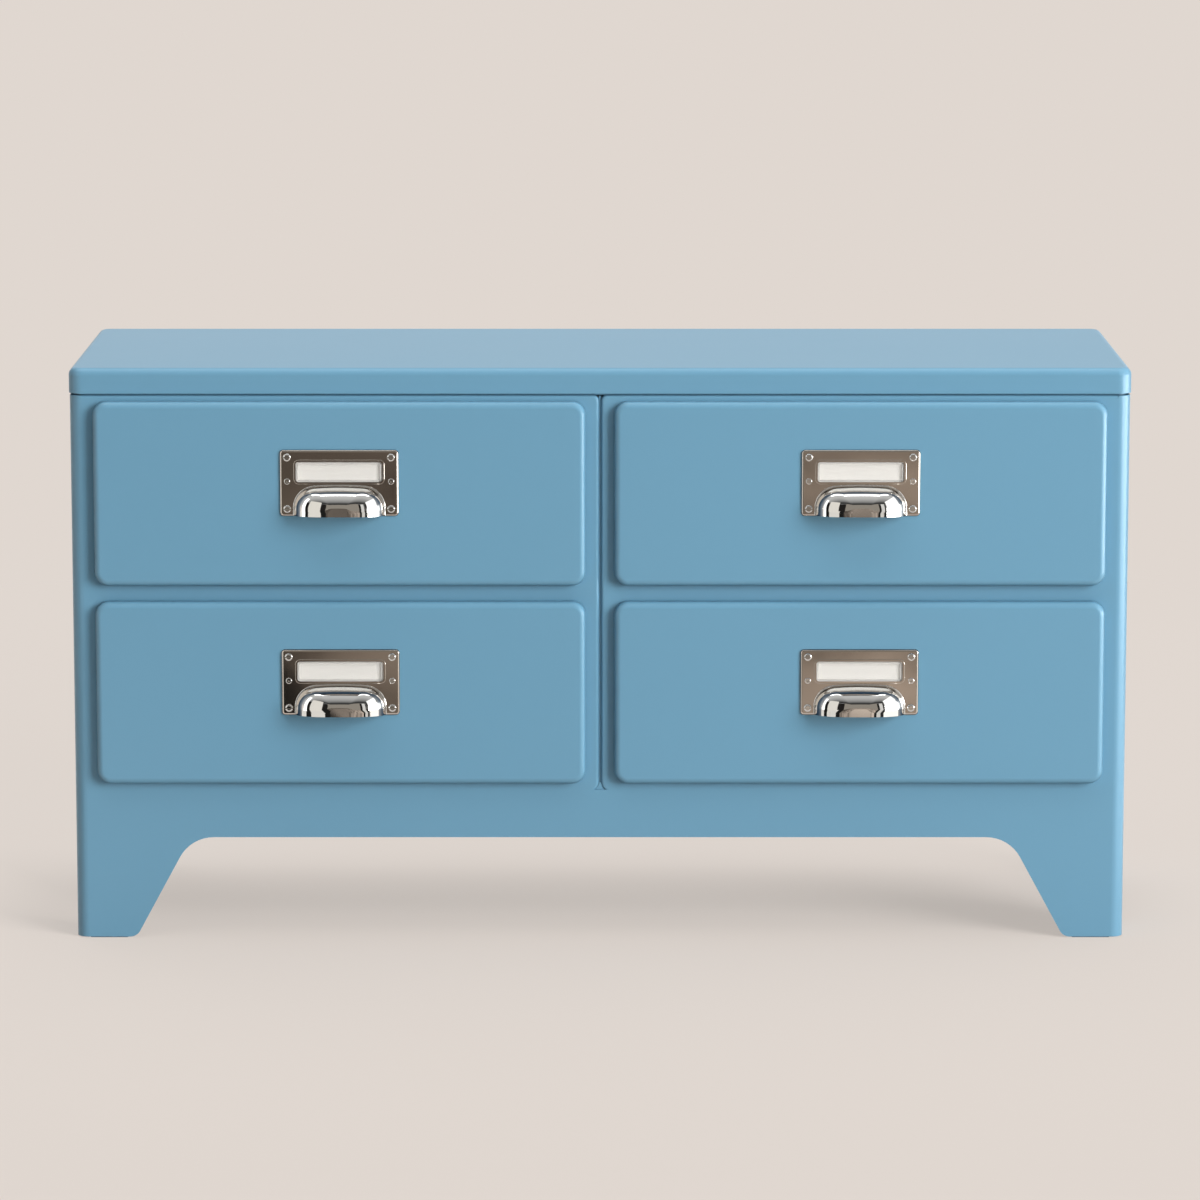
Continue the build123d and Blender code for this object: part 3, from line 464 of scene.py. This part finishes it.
def noise_at(tree, scale, detail):
    place = add_node(tree, "ShaderNodeTexCoord").outputs["Object"]
    noise = add_node(tree, "ShaderNodeTexNoise")
    set_inputs(noise, {"Detail": detail, "Roughness": NOISE_ROUGHNESS})
    wire(tree, (place, noise.inputs["Vector"]), (scale, noise.inputs["Scale"]))
    return noise.outputs["Fac"]


print("ready to build node groups")

# %% [markdown]
# The cloudy tone makes a colour a little lighter and darker from place to place.

# %% Cloudy tone
cloudy_tone, given, result = effect(
    "cloudy_tone",
    [("Color", "NodeSocketColor", (0.5, 0.5, 0.5, 1.0)), ("Scale", "NodeSocketFloat", 4.0),
     ("Amount", "NodeSocketFloat", 0.06)],
    "Color", "NodeSocketColor")
clouds = noise_at(cloudy_tone, given["Scale"], 4.0)
centred = calculate(cloudy_tone, "SUBTRACT", clouds, NOISE_MIDDLE)
lightness = calculate(cloudy_tone, "MULTIPLY_ADD", centred, given["Amount"], 1.0)
tinted = add_node(cloudy_tone, "ShaderNodeHueSaturation")
wire(cloudy_tone,
     (lightness, tinted.inputs["Value"]),
     (given["Color"], tinted.inputs["Color"]),
     (tinted.outputs[0], result))
print("node group", cloudy_tone.name)

# %% [markdown]
# The gloss patches do the same to a roughness, so that a reflection is sharper here and softer
# there.

# %% Gloss patches
gloss_patches, given, result = effect(
    "gloss_patches",
    [("Roughness", "NodeSocketFloat", 0.3), ("Scale", "NodeSocketFloat", 10.0),
     ("Spread", "NodeSocketFloat", 0.1)],
    "Roughness", "NodeSocketFloat")
patches = noise_at(gloss_patches, given["Scale"], 5.0)
centred = calculate(gloss_patches, "SUBTRACT", patches, NOISE_MIDDLE)
gloss = calculate(gloss_patches, "MULTIPLY_ADD", centred, given["Spread"], given["Roughness"])
wire(gloss_patches, (gloss, result))
print("node group", gloss_patches.name)

# %% [markdown]
# The fine ripple is a bump of a few thousandths of a millimetre, such as the orange peel of a
# lacquer or the fibres of a card.

# %% Fine ripple
fine_ripple, given, result = effect(
    "fine_ripple",
    [("Scale", "NodeSocketFloat", 300.0), ("Depth", "NodeSocketFloat", 0.00001)],
    "Normal", "NodeSocketVector")
bump = set_inputs(add_node(fine_ripple, "ShaderNodeBump"), {"Strength": 1.0})
wire(fine_ripple,
     (noise_at(fine_ripple, given["Scale"], 2.0), bump.inputs["Height"]),
     (given["Depth"], bump.inputs["Distance"]),
     (bump.outputs["Normal"], result))
print("node group", fine_ripple.name)

# %% [markdown]
# ## Finishes
# One function makes every finish. It takes a colour, a roughness and the settings of the three
# effects: the tone's scale and amount, the patches' scale and spread, the ripple's scale and depth.

# %% Finish maker
def finish(name, colour, roughness, tone, patches, ripple, metallic=0.0):
    """A Principled finish whose colour, roughness and normal come from the shared effects."""
    made = bpy.data.materials.new(name)
    made.use_nodes = True
    tree = made.node_tree
    shader = set_inputs(tree.nodes["Principled BSDF"], {"Metallic": metallic})
    for group, values, output, socket in (
        (cloudy_tone, {"Color": (*colour, 1.0), "Scale": tone[0], "Amount": tone[1]},
         "Color", "Base Color"),
        (gloss_patches, {"Roughness": roughness, "Scale": patches[0], "Spread": patches[1]},
         "Roughness", "Roughness"),
        (fine_ripple, {"Scale": ripple[0], "Depth": ripple[1]}, "Normal", "Normal"),
    ):
        placed = set_inputs(add_node(tree, "ShaderNodeGroup", node_tree=group), values)
        wire(tree, (placed.outputs[output], shader.inputs[socket]))
    return made


print("ready to make finishes")

# %% [markdown]
# The lacquer is baked enamel over steel: glossy, with a faint orange peel about three millimetres
# across. The plates are polished nickel, which is warmer and darker than the chrome of the cups.
# Rails are zinc plated, rollers are nylon, the glides under the feet black plastic, the buffers
# soft rubber, and the label is ivory card behind a thin clear sheet.

# %% The finishes
finishes = {
    "blue_lacquer": finish("blue_lacquer", (0.151, 0.345, 0.492), 0.305, tone=(2.0, 0.03),
                           patches=(6.0, 0.03), ripple=(330.0, 2.5e-6)),
    "nickel_plate": finish("nickel_plate", (0.66, 0.61, 0.56), 0.07, tone=(30.0, 0.08),
                           patches=(60.0, 0.06), ripple=(160.0, 3e-6), metallic=1.0),
    "bright_chrome": finish("bright_chrome", (0.83, 0.83, 0.82), 0.04, tone=(30.0, 0.04),
                            patches=(60.0, 0.05), ripple=(120.0, 3e-6), metallic=1.0),
    "zinc_steel": finish("zinc_steel", (0.62, 0.63, 0.64), 0.36, tone=(120.0, 0.30),
                         patches=(90.0, 0.16), ripple=(400.0, 1e-5), metallic=1.0),
    "white_nylon": finish("white_nylon", (0.78, 0.76, 0.70), 0.45, tone=(60.0, 0.06),
                          patches=(80.0, 0.1), ripple=(700.0, 1e-5)),
    "black_plastic": finish("black_plastic", (0.03, 0.03, 0.032), 0.5, tone=(60.0, 0.2),
                            patches=(80.0, 0.15), ripple=(900.0, 3e-5)),
    "soft_rubber": finish("soft_rubber", (0.55, 0.55, 0.53), 0.6, tone=(200.0, 0.1),
                          patches=(200.0, 0.1), ripple=(1500.0, 1e-5)),
    "label_paper": finish("label_paper", (0.80, 0.785, 0.745), 0.75, tone=(700.0, 0.06),
                          patches=(300.0, 0.1), ripple=(2500.0, 2e-5)),
    "clear_sheet": finish("clear_sheet", (0.95, 0.95, 0.94), 0.06, tone=(60.0, 0.02),
                          patches=(90.0, 0.04), ripple=(60.0, 4e-6)),
}
print("finishes:", sorted(finishes))

# %% [markdown]
# Two finishes need more. The clear sheet is almost invisible, and whiter where its vertices are
# marked as an edge, a painted highlight for the light that the bevels catch. And the lacquer has a
# second look for mirrors, a painted shade: the cups see the drawer fronts at a glancing angle, from
# the side that the lamps hardly reach, so in mirrors the lacquer is a dark navy with little gloss,
# as the photograph shows it.

# %% Clear sheet and mirrored lacquer
CLEAR_VEIL, BEVEL_GLINT_VEIL = 0.05, 0.42
PAINTED_SHADE_IN_MIRRORS = (0.010, 0.040, 0.078, 1.0)
PLAIN_GLOSS, MIRRORED_GLOSS = 0.5, 0.1

tree = finishes["clear_sheet"].node_tree
# Painted highlight: where a vertex is marked as edge, the sheet turns more opaque and white, in
# place of the light that its bevels catch.
painted_glint_mark = add_node(tree, "ShaderNodeAttribute", attribute_name="edge").outputs["Fac"]
wire(tree, (ramp(tree, painted_glint_mark, 0.0, 1.0, CLEAR_VEIL, BEVEL_GLINT_VEIL),
            tree.nodes["Principled BSDF"].inputs["Alpha"]))

# Painted shade: in mirrors the lacquer turns dark navy and loses most of its gloss, in place of the
# unlit side of the fronts that the cups see.
tree = finishes["blue_lacquer"].node_tree
coat = tree.nodes["Principled BSDF"].inputs
in_mirrors = add_node(tree, "ShaderNodeLightPath").outputs["Is Glossy Ray"]
mirrored = add_node(tree, "ShaderNodeMix", data_type="RGBA")
set_inputs(mirrored, {"B": PAINTED_SHADE_IN_MIRRORS})
wire(tree,
     (in_mirrors, mirrored.inputs["Factor"]),
     (coat["Base Color"].links[0].from_socket, mirrored.inputs["A"]),
     (mirrored.outputs["Result"], coat["Base Color"]),
     (ramp(tree, in_mirrors, 0.0, 1.0, PLAIN_GLOSS, MIRRORED_GLOSS), coat["Specular IOR Level"]))
for subpart in record["subparts"]:
    nodes[subpart["node"]].material_slots[0].material = finishes[subpart["material_slot"]]
print("finished nodes:", len(record["subparts"]))

# %% [markdown]
# ## Label covers
# Behind each window lies a card, and over the card a thin clear cover. On the real plate the cover
# is a formed piece: a rim lies behind the plate, and the middle stands forward into the window with
# bevelled edges, which catch the light as a white border. A flat grid gets that form with three
# insets: the first leaves a narrow foot inside the window's edge, the second the bevel, after which
# the middle is moved forward, and the third a narrow border round the middle. Then the sheet gets
# its thickness. A vertex attribute marks all but the middle as edge.

# %% Shape of a cover
WINDOW_WIDTH, WINDOW_HEIGHT, WINDOW_CORNER, CORNER_STEPS = 0.0721, 0.0166, 0.0022, 6
COVER_RISE, COVER_BEVEL, COVER_FOOT, COVER_WALL = 0.0016, 0.0011, 0.0003, 0.0003
EDGE_WIDTH = 2 * COVER_FOOT + 0.9 * COVER_BEVEL


def formed_cover(bm, low, high):
    """A clear cover whose rim fills a node's box and whose middle stands forward."""
    middle = (Vector(low) + Vector(high)) / 2
    edge = bm.verts.layers.float.new("edge")
    bmesh.ops.create_grid(bm, x_segments=1, y_segments=1, size=0.5)
    bmesh.ops.rotate(bm, matrix=Matrix.Rotation(math.pi / 2, 3, "X"), verts=bm.verts)
    bmesh.ops.scale(bm, vec=(WINDOW_WIDTH, 1.0, WINDOW_HEIGHT), verts=bm.verts)
    bmesh.ops.bevel(bm, geom=bm.verts[:], offset=WINDOW_CORNER, affect="VERTICES",
                    segments=CORNER_STEPS, profile=0.5, material=-1)
    bmesh.ops.translate(bm, vec=(middle.x, middle.y - COVER_WALL / 2, middle.z), verts=bm.verts)
    window = bm.faces[:]
    outline = [e for e in bm.edges if e.is_boundary]
    extruded = bmesh.ops.extrude_edge_only(bm, edges=outline)["geom"]
    rim = [v for v in extruded if isinstance(v, bmesh.types.BMVert)]
    wider = ((high[0] - low[0]) / WINDOW_WIDTH, 1.0, (high[2] - low[2]) / WINDOW_HEIGHT)
    bmesh.ops.scale(bm, space=Matrix.Translation(-middle), verts=rim, vec=wider)
    bmesh.ops.inset_region(bm, faces=window, thickness=COVER_FOOT, use_even_offset=True)
    bmesh.ops.inset_region(bm, faces=window, thickness=COVER_BEVEL, use_even_offset=True)
    raised = list({v for f in window for v in f.verts})
    bmesh.ops.translate(bm, vec=(0, -COVER_RISE, 0), verts=raised)
    bmesh.ops.inset_region(bm, faces=window, thickness=COVER_FOOT, use_even_offset=True)
    bmesh.ops.recalc_face_normals(bm, faces=bm.faces)
    if window[0].normal.y > 0:
        bmesh.ops.reverse_faces(bm, faces=bm.faces)
    bmesh.ops.solidify(bm, geom=bm.faces[:], thickness=COVER_WALL)
    # The edge mark chooses where the clear finish paints the bevels' highlight as a white border.
    for vert in bm.verts:
        inside = (abs(vert.co.x - middle.x) < WINDOW_WIDTH / 2 - EDGE_WIDTH
                  and abs(vert.co.z - middle.z) < WINDOW_HEIGHT / 2 - EDGE_WIDTH)
        vert[edge] = 0.0 if inside else 1.0


print("cover of", WINDOW_WIDTH * 1000, "by", WINDOW_HEIGHT * 1000, "mm in the window")

# %% [markdown]
# Each drawer gets its own cover in place of the flat one from the CAD model, and the cover moves
# with the drawer.

# %% Place the covers
DRAWERS = ("upper_left", "upper_right", "lower_left", "lower_right")

for drawer in DRAWERS:
    node = drawer + "_label_cover"
    cover = new_object(drawer + "_formed_cover", formed_cover, *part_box(node))
    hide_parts(node)
    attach(cover, drawer + "_drawer")
    cover.data.materials.append(finishes["clear_sheet"])
    depths = [vertex.co.y for vertex in cover.data.vertices]
    print(cover.name, "from", round(min(depths), 5), "to", round(max(depths), 5))
